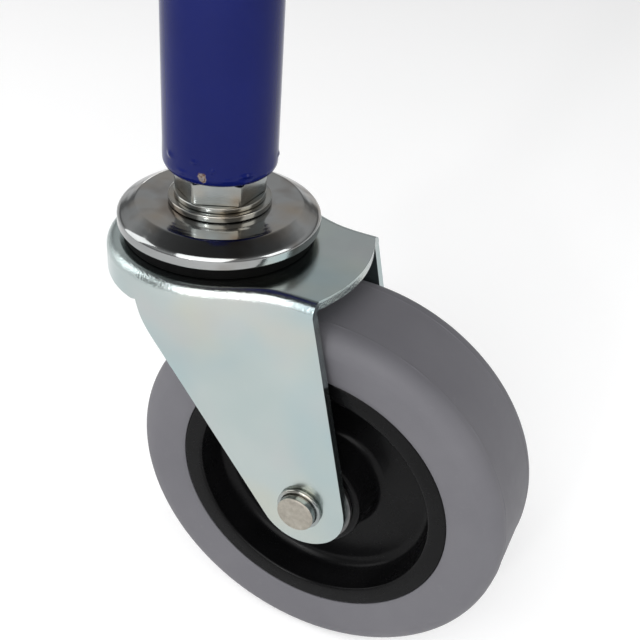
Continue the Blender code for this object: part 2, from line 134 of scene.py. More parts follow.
# Bearing head
CUP_BORE = 6.3
CUP_TOP = 5.2
CUP_UNDERSIDE = 2.4
CUP_RADIUS = 24.3
CUP_INSIDE = 21.9
SEAL_INNER, SEAL_OUTER = 21.4, 22.9
SEAL_GAP_HIGH, SEAL_GAP_LOW = 0.06, 0.08
RACE_TOP, RACE_BOTTOM = -9.1, -12.4
RACE_LIP_HIGH = -7.6
RACE_RADIUS = 15.4
GROOVE_HEIGHT, GROOVE_RADIUS = -7.55, 2.44
GROOVE_START, GROOVE_STEP, GROOVE_POINTS = 235, 10, 10

# Fork
CROWN_TOP = -3.2
SHEET = 2.4
BEND = 3.0
HEAD_RADIUS = 27.0
HEAD_BLEND = 9.0
LEG_FACE = 19.2
CORNER_X = 34.2
LIP_CENTRE_X = 37.6
REAR_EDGE_X = -7.9
SKIRT_BOTTOM = -11.6
SKIRT_ROWS = (0.25, 0.5, 0.75, 1.0)
BULGE_HIGH = -7.0
BULGE_LOW = -34.0
REAR_BEND = (-3.0, -32.4)
REAR_CURVE_START = (REAR_EDGE_X + 0.1, -15.0)
REAR_CURVE_CONTROL = (REAR_EDGE_X + 0.3, -24.0)
REAR_CURVE_STEPS = 14
LEG_END_RADIUS = 11.8
UPPER_TRACK, UPPER_DEPTH, UPPER_REACH = 17.6, 0.9, 3.4
LOWER_TRACK, LOWER_DEPTH, LOWER_REACH = 11.6, 0.7, 2.4
CROWN_BORE, CROWN_RING_STEP, CROWN_RINGS = 8.6, 0.75, 17
AXLE_HOLE_RADIUS = 5.0
FORK_EDGE_ROUND = 0.45

# Tyre and core
SHOULDER_ROUND = 5.3
TYRE_BORE = 36.53
TONGUE_BORE = 33.05
CORE_RADIUS = 36.5
CORE_GROOVE = 33.0
CORE_FACE = 13.95
WEB_FACE = 4.9
HUB_BORE = 9.1
HUB_END = 15.2

# Axle
AXLE_RADIUS = 4.9
AXLE_NEAR_END = -22.6
AXLE_FAR_END = 22.4
AXLE_HEAD_RADIUS = 8.2
AXLE_HEAD_BASE = 19.3
CUT_END = -22.3
DISC_INNER, DISC_OUTER = 7.1, 12.5
DISC_NEAR_LEG, DISC_NEAR_HUB = 16.7, 15.3

# The shiny speckle along the fork's bend fades in and out over these heights
SPECKLE_LOW = (-6.8, -5.6)
SPECKLE_HIGH = (-3.9, -3.25)

# Stage
FLOOR_REACH = 3000.0
FLOOR_GAP_m = 0.0002
FLOOR_GLOW = 0.3

# Softboxes: name, place, width and height in metres, and watts. All face LIT_m.
LIT_m = (0.02, 0.0, -0.13)
SOFTBOXES = (
    ("front_softbox", (0.15, -0.85, 0.55), (1.0, 1.2), 12),
    ("left_softbox", (-0.95, -0.25, 0.35), (0.5, 0.9), 3.6),
    ("right_softbox", (1.1, 0.1, 0.45), (0.6, 0.6), 4.0),
    ("small_softbox", (0.0, -0.95, 0.31), (0.07, 0.07), 1.3),
    ("back_softbox", (-0.85, 1.0, 0.03), (0.22, 0.2), 0.4),
)

# The studio's walls and ceiling: sine of the elevation, and brightness
STUDIO_STOPS = (
    (0.0, 0.85),
    (0.1, 0.8),
    (0.17, 0.22),
    (0.24, 0.2),
    (0.34, 0.5),
    (0.56, 0.66),
    (0.68, 0.4),
    (0.84, 0.12),
    (1.0, 0.05),
)
STUDIO_BLUE = 1.01

# Camera
CAMERA_YAW = math.radians(22.49)
CAMERA_PITCH = math.radians(34.29)
CAMERA_ROLL = math.radians(4.53)
CAMERA_X, CAMERA_Y, CAMERA_HEIGHT = 107.214, -191.202, 121.157
SENSOR_WIDTH = 36.0
LENS = 58.08
CLIP_START_m = 0.01


# ---------------------------------------------------------------- materials


def fill_ramp(made, stops):
    """Colour stops are (position, (r, g, b)) or (position, value)."""
    elements = made.color_ramp.elements
    while len(elements) < len(stops):
        elements.new(0.5)
    for element, (position, value) in zip(elements, stops):
        element.position = position
        shade = value if isinstance(value, tuple) else (value, value, value)
        element.color = (*shade, 1.0)


class Look:
    """A node material under construction, with object coordinates in metres."""

    def __init__(self, name):
        self.material = bpy.data.materials.new(name)
        self.material.use_nodes = True
        self.tree = self.material.node_tree
        self.shader = self.tree.nodes["Principled BSDF"]
        self.place = self.tree.nodes.new("ShaderNodeTexCoord").outputs["Object"]
        self.bumped = None

    def node(self, kind, **settings):
        made = self.tree.nodes.new(kind)
        for name, value in settings.items():
            setattr(made, name, value)
        return made

    def link(self, source, target):
        self.tree.links.new(source, target)

    def fixed(self, **values):
        """Sets the shader's own sockets; underscores stand for spaces."""
        for name, value in values.items():
            self.shader.inputs[name.replace("_", " ")].default_value = value
        return self

    def noise(self, scale, detail=4.0, rough=0.5, stretch=(1, 1, 1), shift=(0, 0, 0)):
        mapping = self.node("ShaderNodeMapping")
        mapping.inputs["Scale"].default_value = stretch
        mapping.inputs["Location"].default_value = shift
        self.link(self.place, mapping.inputs["Vector"])
        made = self.node("ShaderNodeTexNoise")
        made.inputs["Scale"].default_value = scale
        made.inputs["Detail"].default_value = detail
        made.inputs["Roughness"].default_value = rough
        self.link(mapping.outputs["Vector"], made.inputs["Vector"])
        return made.outputs["Fac"]

    def rings(self, scale, distortion):
        """Rings round the swivel axis, as turning leaves them."""
        made = self.node("ShaderNodeTexWave", wave_type="RINGS", rings_direction="Z")
        made.inputs["Scale"].default_value = scale
        made.inputs["Distortion"].default_value = distortion
        made.inputs["Detail"].default_value = 2.0
        self.link(self.place, made.inputs["Vector"])
        return made.outputs["Fac"]

    def ramp(self, fac, *stops):
        made = self.node("ShaderNodeValToRGB")
        fill_ramp(made, stops)
        self.link(fac, made.inputs["Fac"])
        return made.outputs["Color"]

    def mix(self, fac, first, second):
        """Mixes two colours, each a socket or (r, g, b). The node has them at 6 and 7, and out at 2."""
        made = self.node("ShaderNodeMix", data_type="RGBA", blend_type="MIX")
        for index, value in ((0, fac), (6, first), (7, second)):
            socket = made.inputs[index]
            if hasattr(value, "is_linked"):
                self.link(value, socket)
            elif isinstance(value, tuple):
                socket.default_value = (*value, 1.0)
            else:
                socket.default_value = value
        return made.outputs[2]

    def scaled(self, value, low, high, start=0.0, end=1.0):
        """Maps `value` from start..end to low..high."""
        made = self.node("ShaderNodeMapRange")
        made.inputs["From Min"].default_value = start
        made.inputs["From Max"].default_value = end
        made.inputs["To Min"].default_value = low
        made.inputs["To Max"].default_value = high
        self.link(value, made.inputs["Value"])
        return made.outputs["Result"]

    def times(self, one, two):
        made = self.node("ShaderNodeMath", operation="MULTIPLY")
        self.link(one, made.inputs[0])
        self.link(two, made.inputs[1])
        return made.outputs["Value"]

    def bump(self, height, distance_m, strength=1.0):
        made = self.node("ShaderNodeBump")
        made.inputs["Strength"].default_value = strength
        made.inputs["Distance"].default_value = distance_m
        self.link(height, made.inputs["Height"])
        if self.bumped is not None:
            self.link(self.bumped, made.inputs["Normal"])
        self.bumped = made.outputs["Normal"]
        self.link(self.bumped, self.shader.inputs["Normal"])
        return self

    def colour(self, source):
        self.link(source, self.shader.inputs["Base Color"])
        return self

    def roughness(self, source):
        self.link(source, self.shader.inputs["Roughness"])
        return self


def blue_paint():
    """Thick gloss paint, pooled at the tube's foot, with a chip that shows primer and rust."""
    look = Look("blue_paint")
    broad = look.noise(45, detail=3, rough=0.5)
    paint = look.ramp(broad, (0.3, (0.0034, 0.0068, 0.070)), (0.7, (0.0045, 0.0086, 0.083)))
    centre = Vector((
        TUBE_RADIUS * math.cos(CHIP_ANGLE),
        TUBE_RADIUS * math.sin(CHIP_ANGLE),
        CHIP_HEIGHT + RIM,
    )) * MM
    away = look.node("ShaderNodeVectorMath", operation="SUBTRACT")
    away.inputs[1].default_value = centre
    look.link(look.place, away.inputs[0])
    stretched = look.node("ShaderNodeVectorMath", operation="MULTIPLY")
    stretched.inputs[1].default_value = CHIP_STRETCH
    look.link(away.outputs["Vector"], stretched.inputs[0])
    length = look.node("ShaderNodeVectorMath", operation="LENGTH")
    look.link(stretched.outputs["Vector"], length.inputs[0])
    ragged = look.noise(900, detail=3, rough=0.6)
    edge = look.node("ShaderNodeMath", operation="MULTIPLY_ADD")
    edge.inputs[1].default_value = CHIP_RAGGED_m
    look.link(ragged, edge.inputs[0])
    look.link(length.outputs["Value"], edge.inputs[2])
    chip = look.scaled(edge.outputs["Value"], 1.0, 0.0, CHIP_INSIDE_m, CHIP_OUTSIDE_m)
    rust, primer, stain = (0.07, 0.035, 0.025), (0.20, 0.17, 0.15), (0.05, 0.055, 0.10)
    bare = look.ramp(look.noise(1400, detail=2, rough=0.6), (0.38, rust), (0.5, primer), (0.64, stain))
    look.colour(look.mix(chip, paint, bare))
    gloss = look.scaled(look.noise(160, detail=3, rough=0.5), 0.08, 0.14)
    look.roughness(look.mix(chip, gloss, (0.5, 0.5, 0.5)))
    look.bump(look.noise(120, detail=2, rough=0.4), distance_m=0.00008, strength=0.5)
    return look.fixed(Specular_IOR_Level=0.12).material


def zinc(name, dark, light, patches, rough):
    """Zinc plate over steel, with a fine grain and patches of (colour, scale, shift, amount)."""
    look = Look(name)
    tone = look.ramp(look.noise(38, detail=3, rough=0.55), (0.3, dark), (0.7, light))
    for shade, scale, shift, amount in patches:
        spread = look.noise(scale, detail=2, rough=0.5, shift=shift)
        where = look.ramp(spread, (0.5, 0.0), (0.72, amount))
        tone = look.mix(where, tone, shade)
    look.colour(tone)
    look.roughness(look.scaled(look.noise(210, detail=4, rough=0.6), *rough))
    look.bump(look.noise(1700, detail=3, rough=0.6), distance_m=0.00001, strength=0.35)
    return look.fixed(Metallic=1.0)


def satin_zinc():
    """The fork's plate: blue-white with faint rainbow patches, and speckled along the bend."""
    patches = (
        ((0.49, 0.475, 0.385), 30, (0.02, 0.0, 0.01), 0.8),
        ((0.44, 0.42, 0.43), 42, (0.31, 0.2, 0.11), 0.4),
        ((0.34, 0.43, 0.445), 34, (0.71, 0.5, 0.4), 0.8),
    )
    look = zinc("satin_zinc", (0.37, 0.435, 0.43), (0.425, 0.475, 0.465), patches, rough=(0.14, 0.26))
    look.bump(look.noise(90, detail=2, rough=0.5), distance_m=0.00006, strength=0.4)
    split = look.node("ShaderNodeSeparateXYZ")
    look.link(look.place, split.inputs["Vector"])
    height = split.outputs["Z"]
    below = look.scaled(height, 0.0, 1.0, *((RIM + edge) * MM for edge in SPECKLE_LOW))
    above = look.scaled(height, 1.0, 0.0, *((RIM + edge) * MM for edge in SPECKLE_HIGH))
    band = look.times(below, above)
    look.bump(look.times(look.noise(1900, detail=2, rough=0.6), band), distance_m=0.00013, strength=1.0)
    return look.material


def bright_zinc():
    """The plate of the nut, the washers and the axle's collar."""
    patches = (
        ((0.27, 0.22, 0.16), 90, (0.1, 0.3, 0.2), 0.75),
        ((0.14, 0.145, 0.145), 120, (0.5, 0.1, 0.4), 0.6),
    )
    look = zinc("bright_zinc", (0.24, 0.26, 0.26), (0.32, 0.34, 0.33), patches, rough=(0.12, 0.22))
    return look.material


def polished_zinc():
    """The cup's plate, with brown and dark brown patches at random places and the rings that polishing
    leaves.
    """
    patches = (
        ((0.30, 0.25, 0.19), 70, (0.4, 0.1, 0.6), 0.8),
        ((0.13, 0.095, 0.07), 95, (0.9, 0.3, 0.2), 0.75),
    )
    look = zinc("polished_zinc", (0.26, 0.27, 0.27), (0.33, 0.335, 0.33), patches, rough=(0.06, 0.15))
    look.bump(look.noise(130, detail=2, rough=0.5), distance_m=0.0002, strength=0.5)
    look.bump(look.rings(scale=230, distortion=1.5), distance_m=0.000012, strength=0.6)
    return look.material


def axle_face():
    """The cut and riveted end of the axle: dull tan-grey with fine pits."""
    look = Look("axle_face")
    dark, light = (0.24, 0.22, 0.19), (0.37, 0.35, 0.30)
    look.colour(look.ramp(look.noise(520, detail=5, rough=0.65), (0.3, dark), (0.7, light)))
    look.roughness(look.scaled(look.noise(700, detail=3, rough=0.6), 0.42, 0.62))
    look.bump(look.noise(1500, detail=4, rough=0.6), distance_m=0.00006, strength=0.6)
    return look.fixed(Metallic=0.75).material


def plain_metal(name, dark, light, rough, grain_m):
    """Unplated steel with a mottled tone and a fine grain."""
    look = Look(name)
    look.colour(look.ramp(look.noise(420, detail=4, rough=0.6), (0.3, dark), (0.7, light)))
    look.roughness(look.scaled(look.noise(900, detail=3, rough=0.6), *rough))
    look.bump(look.noise(2600, detail=3, rough=0.6), distance_m=grain_m, strength=0.4)
    return look.fixed(Metallic=1.0).material


def grey_rubber():
    """Moulded grey rubber: matt, a little mottled, with a fine tooth and a few scuffs."""
    look = Look("grey_rubber")
    dark, light = (0.103, 0.101, 0.112), (0.117, 0.115, 0.126)
    tone = look.ramp(look.noise(55, detail=5, rough=0.6), (0.25, dark), (0.75, light))
    scuffs = look.noise(240, detail=6, rough=0.7, stretch=(1, 0.35, 1))
    scuff = look.ramp(scuffs, (0.62, 0.0), (0.8, 0.5))
    look.colour(look.mix(scuff, tone, (0.150, 0.148, 0.158)))
    look.roughness(look.scaled(look.noise(180, detail=4, rough=0.6), 0.5, 0.66))
    look.bump(look.noise(2400, detail=3, rough=0.6), distance_m=0.00002, strength=0.5)
    look.bump(look.noise(140, detail=3, rough=0.5), distance_m=0.00012, strength=0.3)
    return look.fixed(Specular_IOR_Level=0.32).material


def black_plastic():
    """Glossy moulded black plastic with faint flow marks."""
    look = Look("black_plastic")
    dark, light = (0.0022, 0.0022, 0.0024), (0.004, 0.004, 0.0043)
    look.colour(look.ramp(look.noise(70, detail=4, rough=0.6), (0.3, dark), (0.7, light)))
    look.roughness(look.scaled(look.noise(150, detail=4, rough=0.6), 0.2, 0.34))
    look.bump(look.noise(90, detail=3, rough=0.5), distance_m=0.0001, strength=0.3)
    look.bump(look.noise(1800, detail=2, rough=0.5), distance_m=0.00001, strength=0.4)
    return look.fixed(Specular_IOR_Level=0.09).material


def dull(name, dark, light, rough, specular=0.4):
    """A plastic or rubber without gloss."""
    look = Look(name)
    look.colour(look.ramp(look.noise(300, detail=4, rough=0.6), (0.3, dark), (0.7, light)))
    look.roughness(look.scaled(look.noise(500, detail=3, rough=0.6), *rough))
    look.bump(look.noise(1500, detail=3, rough=0.6), distance_m=0.00002, strength=0.4)
    return look.fixed(Specular_IOR_Level=specular).material


def bare_steel():
    dark, light = (0.30, 0.30, 0.30), (0.44, 0.44, 0.43)
    return plain_metal("bare_steel", dark, light, rough=(0.22, 0.4), grain_m=0.00001)


def dark_steel():
    dark, light = (0.09, 0.09, 0.09), (0.15, 0.15, 0.15)
    return plain_metal("dark_steel", dark, light, rough=(0.3, 0.5), grain_m=0.00001)


def ball_steel():
    dark, light = (0.62, 0.62, 0.62), (0.72, 0.72, 0.72)
    return plain_metal("ball_steel", dark, light, rough=(0.04, 0.09), grain_m=0.0)


def black_rubber():
    # Blacker than rubber is: the seal's near-black colour is partly painted shade, standing in for the
    # shadow in the gap under the cup.
    dark, light = (0.001, 0.001, 0.001), (0.002, 0.002, 0.002)
    return dull("black_rubber", dark, light, rough=(0.5, 0.75), specular=0.05)


def white_plastic():
    dark, light = (0.62, 0.62, 0.57), (0.74, 0.74, 0.70)
    return dull("white_plastic", dark, light, rough=(0.35, 0.5))


# ---------------------------------------------------------------- mesh helpers


def finish_mesh(name, shape, look, crease=32.0):
    """Turns a bmesh in millimetres into an object in metres, smooth but for edges over `crease`."""
    bmesh.ops.recalc_face_normals(shape, faces=shape.faces)
    mesh = bpy.data.meshes.new(name)
    shape.to_mesh(mesh)
    shape.free()
    mesh.transform(Matrix.Scale(MM, 4))
    mesh.polygons.foreach_set("use_smooth", [True] * len(mesh.polygons))
    mesh.set_sharp_from_angle(angle=math.radians(crease))
    mesh.materials.append(look)
    made = bpy.data.objects.new(name, mesh)
    bpy.context.scene.collection.objects.link(made)
    return made


def settle(made):
    """Applies a piece's modifiers."""
    graph = bpy.context.evaluated_depsgraph_get()
    mesh = bpy.data.meshes.new_from_object(made.evaluated_get(graph), depsgraph=graph)
    made.modifiers.clear()
    made.data = mesh


def arc(corner, start, end, steps=8):
    """Points of a round from `start` to `end`, tangent to both sides of `corner`."""
    points = []
    for step in range(steps + 1):
        angle = step / steps * math.pi / 2
        a, b = 1 - math.sin(angle), 1 - math.cos(angle)
        points.append(tuple(c + (s - c) * a + (e - c) * b for c, s, e in zip(corner, start, end)))
    return points


def softened(points, radius, steps=3):
    """A closed profile with every corner rounded to at most `radius`."""
    out = []
    count = len(points)
    for index, corner in enumerate(points):
        before, after = Vector(points[index - 1]), Vector(points[(index + 1) % count])
        here = Vector(corner)
        reach = min(radius, (before - here).length * 0.45, (after - here).length * 0.45)
        start = here + (before - here).normalized() * reach
        end = here + (after - here).normalized() * reach
        for step in range(steps + 1):
            t = step / steps
            point = start * (1 - t) ** 2 + here * 2 * t * (1 - t) + end * t * t
            out.append((point.x, point.y))
    return out


def turned(name, profile, look, axis="Z", steps=128, closed=True, bend=None, crease=32.0):
    """A solid of revolution from (radius, height) pairs, each moved by `bend` if there is one."""
    shape = bmesh.new()
    rings = []
    for radius, height in profile:
        if radius < 1e-6:
            rings.append([shape.verts.new(turned_point(0.0, height, 0.0, axis, bend))])
            continue
        ring = []
        for step in range(steps):
            angle = 2 * math.pi * step / steps
            ring.append(shape.verts.new(turned_point(radius, height, angle, axis, bend)))
        rings.append(ring)
    pairs = list(zip(rings, rings[1:]))
    if closed:
        pairs.append((rings[-1], rings[0]))
    for one, two in pairs:
        for step in range(steps):
            following = (step + 1) % steps
            corners = [one[step % len(one)], one[following % len(one)],
                       two[following % len(two)], two[step % len(two)]]
            corners = list(dict.fromkeys(corners))
            if len(corners) > 2:
                shape.faces.new(corners)
    return finish_mesh(name, shape, look, crease)


def turned_point(radius, height, angle, axis="Z", bend=None):
    """A place round the swivel axis ("Z") or the wheel's axle ("Y")."""
    if bend is not None:
        radius, height = bend(radius, height, angle)
    across, along = radius * math.cos(angle), radius * math.sin(angle)
    if axis == "Z":
        return (across, along, height + RIM)
    return (TRAIL + across, height, AXLE_HEIGHT + along + RIM)


def join_columns(shape, columns):
    """Adds quads between neighbouring columns, each of which is a closed ring of vertices."""
    for one, two in zip(columns, columns[1:]):
        for row in range(len(one)):
            after = (row + 1) % len(one)
            shape.faces.new((one[row], two[row], two[after], one[after]))


def ring_section(inner, outer, low, high, radius, steps=3):
    """The section of a flat ring with its corners rounded."""
    return softened([(inner, high), (outer, high), (outer, low), (inner, low)], radius, steps)


def show(piece, body, slot, *nodes):
    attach(piece, body)
    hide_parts(*nodes)
    return piece


# ---------------------------------------------------------------- leg tube, nut, washers, stem


def tube_marks(radius, height, angle):
    """Runs and blobs of thick paint near the tube's foot, over a slight wave."""
    if radius < TUBE_RADIUS - MARKED_DEPTH or height > TUBE_LOW + MARKED_HEIGHT:
        return radius, height
    swell = 0.0
    for where, level, wide, tall, proud in PAINT_RUNS:
        turn = (math.degrees(angle) - where + 180) % 360 - 180
        across = math.radians(turn) * TUBE_RADIUS / (wide / 2)
        up = (height - level) / (tall / 2)
        swell += proud * math.exp(-RUN_FALLOFF * (across * across + up * up))
    wave = WAVE_ONE * math.sin(angle * 5 + 1.0) + WAVE_TWO * math.sin(angle * 9)
    fade = max(0.0, 1 - abs(height - TUBE_LOW - WAVE_MIDDLE) / WAVE_REACH)
    return radius + RUN_LIMIT * math.tanh(RUN_GAIN * swell) + wave * fade, height


def make_tube(looks):
    """The leg tube: open at its top, and closed round the stem at its foot."""
    inner, low, high = TUBE_RADIUS - TUBE_WALL, TUBE_LOW, TUBE_HIGH
    marked, long = low + MARKED_HEIGHT, high - low - MARKED_HEIGHT - 1
    foot = TUBE_RADIUS - FOOT_ROUND
    profile = arc((inner, high), (inner, high - 0.4), (inner + 0.4, high), 3)
    profile += arc((TUBE_RADIUS, high), (TUBE_RADIUS - 0.5, high), (TUBE_RADIUS, high - 0.5), 4)
    profile += [(TUBE_RADIUS, marked + long * t / 4) for t in (3.9, 3, 2, 1, 0)]
    profile += [(TUBE_RADIUS, low + FOOT_ROUND + 0.3 * t) for t in range(21, 0, -1)]
    profile += arc((TUBE_RADIUS, low), (TUBE_RADIUS, low + FOOT_ROUND), (foot, low), 12)
    profile += [(foot - 0.8, low), (FOOT_BORE + 0.4, low)]
    profile += arc((FOOT_BORE, low), (FOOT_BORE + 0.4, low), (FOOT_BORE, low + 0.4), 3)
    profile += [(FOOT_BORE, low + FOOT_SHEET), (inner, low + FOOT_SHEET)]
    tube = turned("leg_tube_skin", profile, looks["blue_paint"], steps=224, bend=tube_marks)
    show(tube, "leg", "blue_paint", "leg_tube")


def hexagon(angle):
    """Radius of the nut in the direction of `angle`: a hexagon with slightly rounded corners."""
    part = (angle - NUT_TURN) % (math.pi / 3) - math.pi / 6
    sharp = NUT_FLATS / 2 / math.cos(part)
    limit = NUT_FLATS / math.sqrt(3) - NUT_CORNER_ROUND
    if sharp > limit - NUT_CORNER_REACH:
        over = min((sharp - (limit - NUT_CORNER_REACH)) / NUT_CORNER_REACH, 2.0)
        return limit - NUT_CORNER_REACH + NUT_CORNER_REACH * over * (1 - over / 4)
    return sharp


def make_nut(looks):
    """A hexagon chamfered at the top: each column turns from the cone to the flat where they meet."""
    cone = math.tan(NUT_CHAMFER)
    shape = bmesh.new()
    columns = []
    for step in range(NUT_COLUMNS):
        angle = 2 * math.pi * step / NUT_COLUMNS
        radius = hexagon(angle)
        drop = max(radius - NUT_CHAMFER_RADIUS, 0.02) * cone
        line = [(STEM_CLEARANCE, NUT_HIGH - 0.5), (NUT_MOUTH, NUT_HIGH)]
        line += [(NUT_CHAMFER_RADIUS - 0.15, NUT_HIGH), (NUT_CHAMFER_RADIUS, NUT_HIGH - 0.03)]
        line += [(radius - 0.08, NUT_HIGH - drop), (radius, NUT_HIGH - drop - 0.1)]
        line += [(radius, NUT_LOW + 0.12), (radius - 0.12, NUT_LOW)]
        line += [(NUT_MOUTH, NUT_LOW), (STEM_CLEARANCE, NUT_LOW + 0.5)]
        columns.append([shape.verts.new(turned_point(r, z, angle)) for r, z in line])
    join_columns(shape, columns + columns[:1])
    nut = finish_mesh("jam_nut_body", shape, looks["bright_zinc"], crease=20.0)
    show(nut, "leg", "bright_zinc", "jam_nut")


def make_washers(looks):
    """The spring washer, split at the back of the nut, and the flat washer under it."""
    shape = bmesh.new()
    section = ring_section(SPRING_INNER, SPRING_OUTER, SPRING_LOW, SPRING_HIGH, 0.3)
    columns = []
    for step in range(SPRING_COLUMNS + 1):
        columns.append([])
        for radius, height in section:
            lean = SPLIT_LEAN * (height - (SPRING_LOW + SPRING_HIGH) / 2)
            sweep = (2 * math.pi - 2 * SPLIT_GAP) * step / SPRING_COLUMNS
            angle = SPLIT_TURN + SPLIT_GAP + lean + sweep
            columns[-1].append(shape.verts.new(turned_point(radius, height, angle)))
    join_columns(shape, columns)
    shape.faces.new(columns[0])
    shape.faces.new(columns[-1][::-1])
    washer = finish_mesh("spring_washer_coil", shape, looks["bright_zinc"])
    show(washer, "leg", "bright_zinc", "spring_washer")

    ring = ring_section(WASHER_INNER, WASHER_OUTER, WASHER_LOW, WASHER_HIGH, 0.4, steps=4)
    plain = turned("flat_washer_disc", ring, looks["bright_zinc"])
    show(plain, "leg", "bright_zinc", "flat_washer")


def make_stem(looks):
    """The stem bolt: a few thread rings at its top, a plain shank and a domed head."""
    profile = [(0, STEM_TOP), (4.6, STEM_TOP)]
    profile += arc((STEM_RADIUS, STEM_TOP), (5.2, STEM_TOP), (STEM_RADIUS, 25.7), 3)
    height = THREAD_HIGH
    while height > THREAD_LOW:
        profile += [(STEM_RADIUS, height), (THREAD_ROOT, height - 0.4)]
        profile += [(THREAD_ROOT, height - 0.5), (STEM_RADIUS, height - 0.9)]
        height -= THREAD_PITCH
    profile += [(STEM_RADIUS, 16.5), (STEM_RADIUS, STEM_HEAD_HIGH), (9.0, STEM_HEAD_HIGH)]
    corner = (STEM_HEAD_RADIUS, STEM_HEAD_HIGH)
    profile += arc(corner, (9.0, STEM_HEAD_HIGH), (STEM_HEAD_RADIUS, -12.8), 3)
    corner = (STEM_HEAD_RADIUS, STEM_HEAD_LOW)
    profile += arc(corner, (STEM_HEAD_RADIUS, -14.2), (5.0, STEM_HEAD_LOW), 10)
    profile += [(2.4, STEM_HEAD_LOW), (1.6, -16.2), (0, -15.9)]
    stem = turned("stem_bolt_body", profile, looks["bare_steel"], steps=96, closed=False)
    show(stem, "leg", "bare_steel", "stem_bolt")


# ---------------------------------------------------------------- bearing head


def make_head(looks):
    """The upper cup, the seal in the gap under it, and the lower cup under the fork's crown."""
    cup = [(CUP_BORE, CUP_TOP), (17.2, CUP_TOP), (19.3, CUP_TOP)]
    cup += arc((19.75, CUP_TOP), (19.3, CUP_TOP), (20.15, 5.0), 4)
    cup += [(20.9, 4.62), (21.8, 4.12), (22.7, 3.64)]
    cup += arc((CUP_RADIUS, 2.85), (23.1, 3.42), (CUP_RADIUS, 2.1), 8)
    cup += [(CUP_RADIUS, 0.5)]
    cup += arc((CUP_RADIUS, 0.0), (CUP_RADIUS, 0.4), (23.9, 0.0), 4)
    cup += [(22.3, 0.0)]
    cup += arc((CUP_INSIDE, 0.0), (22.3, 0.0), (CUP_INSIDE, 0.4), 3)
    cup += arc((CUP_INSIDE, CUP_UNDERSIDE), (CUP_INSIDE, 1.3), (20.9, CUP_UNDERSIDE), 5)
    cup += [(CUP_BORE, CUP_UNDERSIDE)]
    head = turned("upper_cup_cap", cup, looks["polished_zinc"], steps=192, crease=24.0)
    show(head, "leg", "polished_zinc", "upper_cup")

    # The seal is near black, partly painted shade for the shadowed gap under the cup's rim.
    seal_low = CROWN_TOP + SEAL_GAP_LOW
    seal = ring_section(SEAL_INNER, SEAL_OUTER, seal_low, -SEAL_GAP_HIGH, 0.5, steps=4)
    ring = turned("dust_seal_ring", seal, looks["black_rubber"])
    show(ring, "leg", "black_rubber", "dust_seal")

    lower = [(STEM_CLEARANCE, RACE_TOP), (9.6, RACE_TOP)]
    for step in range(GROOVE_POINTS):
        angle = math.radians(GROOVE_START + step * GROOVE_STEP)
        out, up = GROOVE_RADIUS * math.cos(angle), GROOVE_RADIUS * math.sin(angle)
        lower.append((LOWER_TRACK + out, GROOVE_HEIGHT + up))
    lower += [(14.3, RACE_LIP_HIGH), (15.1, RACE_LIP_HIGH)]
    lower += arc((RACE_RADIUS, RACE_LIP_HIGH), (15.1, RACE_LIP_HIGH), (RACE_RADIUS, -7.9), 3)
    lower += arc((RACE_RADIUS, RACE_BOTTOM), (RACE_RADIUS, -10.9), (13.9, RACE_BOTTOM), 6)
    lower += [(STEM_CLEARANCE, RACE_BOTTOM)]
    race = turned("lower_cup_race", lower, looks["bare_steel"])
    show(race, "leg", "bare_steel", "lower_cup")


# ---------------------------------------------------------------- fork


def smooth_max(a, b, reach):
    """The larger of two values, blended where they are within `reach` of each other."""
    lap = max(reach - abs(a - b), 0.0) / reach
    return max(a, b) + lap * lap * reach / 4


def wall_distance(angle):
    """Distance from the swivel axis to the fork's outer wall, in the direction of `angle`."""
    if abs(math.sin(angle)) < 1e-6 or math.cos(angle) < 0:
        return HEAD_RADIUS
    return smooth_max(HEAD_RADIUS, LEG_FACE / abs(math.sin(angle)), HEAD_BLEND)


def crown_height(radius):
    """Height of the crown's top with its two ball tracks: one sunk, one raised."""
    height = CROWN_TOP
    upper = (radius - UPPER_TRACK) / UPPER_REACH
    lower = (radius - LOWER_TRACK) / LOWER_REACH
    if abs(upper) < 1:
        height -= UPPER_DEPTH * (0.5 + 0.5 * math.cos(math.pi * upper))
    if abs(lower) < 1:
        height += LOWER_DEPTH * (0.5 + 0.5 * math.cos(math.pi * lower))
    return height


def lerp(a, b, t):
    return tuple(u + (v - u) * t for u, v in zip(a, b))


def along(points, t):
    """The point at fraction t of the length of a line of points."""
    lengths = [math.dist(a, b) for a, b in zip(points, points[1:])]
    rest = t * sum(lengths)
    for start, end, length in zip(points, points[1:], lengths):
        if rest <= length or end is points[-1]:
            return lerp(start, end, min(rest / length, 1.0))
        rest -= length
    return points[-1]


def tangent(point, side):
    """Where a line from `point` touches the leg's rounded end."""
    dx, dz = point[0] - TRAIL, point[1] - AXLE_HEIGHT
    turn = math.acos(LEG_END_RADIUS / math.hypot(dx, dz))
    return math.atan2(dz, dx) + side * turn


def leg_end(angle):
    """A point of the leg's rounded end, in the plane of its face."""
    across, up = LEG_END_RADIUS * math.cos(angle), LEG_END_RADIUS * math.sin(angle)
    return (TRAIL + across, AXLE_HEIGHT + up)


def leg_outline():
    """A leg's front and rear edges from the bend down, and its round end's first angle and sweep."""
    high = CROWN_TOP - BEND
    front_top = (CORNER_X, high)
    front_turn, rear_turn = tangent(front_top, -1), tangent(REAR_BEND, 1)
    front = [front_top, leg_end(front_turn)]
    rear = [(REAR_EDGE_X, high), (REAR_EDGE_X, SKIRT_BOTTOM)]
    for step in range(REAR_CURVE_STEPS + 1):
        t = step / REAR_CURVE_STEPS
        before = lerp(REAR_CURVE_START, REAR_CURVE_CONTROL, t)
        after = lerp(REAR_CURVE_CONTROL, REAR_BEND, t)
        rear.append(lerp(before, after, t))
    rear.append(leg_end(rear_turn))
    return front, rear, front_turn, (rear_turn - front_turn) % (-2 * math.pi)


